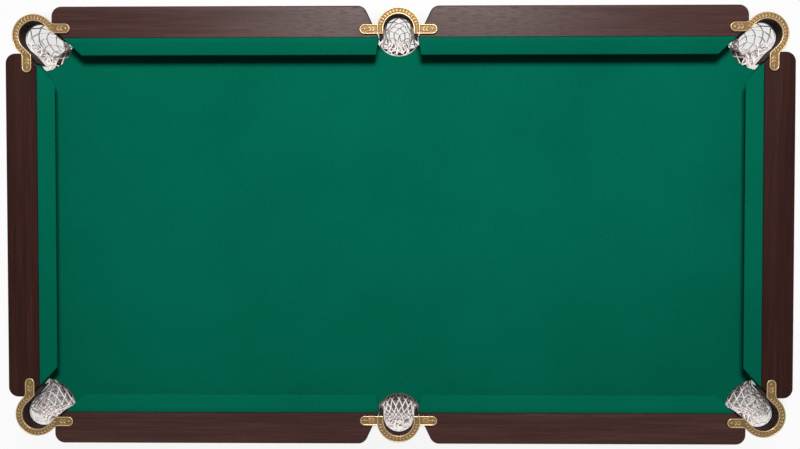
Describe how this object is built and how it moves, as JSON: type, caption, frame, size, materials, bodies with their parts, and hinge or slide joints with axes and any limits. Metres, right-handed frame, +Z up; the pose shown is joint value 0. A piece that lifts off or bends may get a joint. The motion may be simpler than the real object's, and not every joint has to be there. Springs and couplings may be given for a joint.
{
  "type": "folding pool table",
  "caption": "Rectangular pool table with a green cloth bed, dark wooden rails, cast brass pocket irons with hanging net bags, and steel leg frames that fold flat under the bed.",
  "frame": {"origin": "on the floor, under the middle of the bed", "axes": "+X along the table, +Y across it, +Z up from the floor"},
  "size_m": [1.918, 1.068, 0.8053],
  "materials": {
    "rail_wood": "satin dark wenge-toned veneer",
    "apron_wood": "satin dark wenge-toned veneer",
    "board": "bare fibreboard",
    "bed_cloth": "napped green wool cloth",
    "cushion": "rubber profile wrapped in napped green wool cloth",
    "iron_brass": "antique cast brass with worn high spots",
    "net_cord": "white knotted cord",
    "frame_steel": "black powder coat",
    "zinc_steel": "zinc plate",
    "foot_plastic": "matte black moulding"
  },
  "bodies": {
    "table": {"bed_board": "board", "bed_cloth": "bed_cloth", "rail_back_left": "rail_wood", "rail_back_right": "rail_wood", "rail_front_left": "rail_wood", "rail_front_right": "rail_wood", "rail_left": "rail_wood", "rail_right": "rail_wood", "cushion_back_left": "cushion", "cushion_back_right": "cushion", "cushion_front_left": "cushion", "cushion_front_right": "cushion", "cushion_left": "cushion", "cushion_right": "cushion", "pocket_iron_back_left": "iron_brass", "pocket_iron_back_middle": "iron_brass", "pocket_iron_back_right": "iron_brass", "pocket_iron_front_left": "iron_brass", "pocket_iron_front_middle": "iron_brass", "pocket_iron_front_right": "iron_brass", "pocket_net_back_left": "net_cord", "pocket_net_back_middle": "net_cord", "pocket_net_back_right": "net_cord", "pocket_net_front_left": "net_cord", "pocket_net_front_middle": "net_cord", "pocket_net_front_right": "net_cord", "side_apron_back": "apron_wood", "side_apron_front": "apron_wood", "end_apron_left": "apron_wood", "end_apron_right": "apron_wood", "corner_block_back_left": "board", "corner_block_back_right": "board", "corner_block_front_left": "board", "corner_block_front_right": "board", "middle_bearer": "board", "leg_bearer_left": "board", "leg_bearer_right": "board", "hinge_bracket_left_back": "zinc_steel", "hinge_bracket_left_front": "zinc_steel", "hinge_bracket_right_back": "zinc_steel", "hinge_bracket_right_front": "zinc_steel", "stay_bracket_left": "zinc_steel", "stay_bracket_right": "zinc_steel"},
    "leg_frame_left": {"pivot_tube_left": "frame_steel", "leg_left_back": "frame_steel", "leg_left_front": "frame_steel", "stretcher_left": "frame_steel"},
    "leg_frame_right": {"pivot_tube_right": "frame_steel", "leg_right_back": "frame_steel", "leg_right_front": "frame_steel", "stretcher_right": "frame_steel"},
    "lower_stay_left": {"stay_lower_left": "zinc_steel"},
    "lower_stay_right": {"stay_lower_right": "zinc_steel"},
    "upper_stay_left": {"stay_upper_left": "zinc_steel"},
    "upper_stay_right": {"stay_upper_right": "zinc_steel"},
    "level_left_back": {"foot_left_back": "foot_plastic"},
    "level_left_front": {"foot_left_front": "foot_plastic"},
    "level_right_back": {"foot_right_back": "foot_plastic"},
    "level_right_front": {"foot_right_front": "foot_plastic"}
  },
  "joints": [
    {"name": "leg_fold_left", "type": "hinge", "parent": "table", "child": "leg_frame_left", "pos_m": [-0.72, 0, 0.6831], "axis": [0, -1, 0], "range_deg": [0, 90]},
    {"name": "leg_fold_right", "type": "hinge", "parent": "table", "child": "leg_frame_right", "pos_m": [0.72, 0, 0.6831], "axis": [0, 1, 0], "range_deg": [0, 90]},
    {"name": "upper_stay_fold_left", "type": "hinge", "parent": "table", "child": "upper_stay_left", "pos_m": [-0.42, 0, 0.6831], "axis": [0, -1, 0], "range_deg": [-48.6, 0]},
    {"name": "upper_stay_fold_right", "type": "hinge", "parent": "table", "child": "upper_stay_right", "pos_m": [0.42, 0, 0.6831], "axis": [0, 1, 0], "range_deg": [-48.6, 0]},
    {"name": "lower_stay_fold_left", "type": "hinge", "parent": "leg_frame_left", "child": "lower_stay_left", "pos_m": [-0.72, 0, 0.3431], "axis": [0, -1, 0], "range_deg": [0, 41.5]},
    {"name": "lower_stay_fold_right", "type": "hinge", "parent": "leg_frame_right", "child": "lower_stay_right", "pos_m": [0.72, 0, 0.3431], "axis": [0, 1, 0], "range_deg": [0, 41.5]},
    {"name": "level_left_back_screw", "type": "slide", "parent": "leg_frame_left", "child": "level_left_back", "axis": [0, 0, -1], "range_m": [0, 0.012]},
    {"name": "level_left_front_screw", "type": "slide", "parent": "leg_frame_left", "child": "level_left_front", "axis": [0, 0, -1], "range_m": [0, 0.012]},
    {"name": "level_right_back_screw", "type": "slide", "parent": "leg_frame_right", "child": "level_right_back", "axis": [0, 0, -1], "range_m": [0, 0.012]},
    {"name": "level_right_front_screw", "type": "slide", "parent": "leg_frame_right", "child": "level_right_front", "axis": [0, 0, -1], "range_m": [0, 0.012]}
  ],
  "couplings": [
    {"joint": "upper_stay_fold_left", "follows": "leg_fold_left", "ratio": -0.53974},
    {"joint": "lower_stay_fold_left", "follows": "leg_fold_left", "ratio": 0.46026},
    {"joint": "upper_stay_fold_right", "follows": "leg_fold_right", "ratio": -0.53974},
    {"joint": "lower_stay_fold_right", "follows": "leg_fold_right", "ratio": 0.46026}
  ]
}
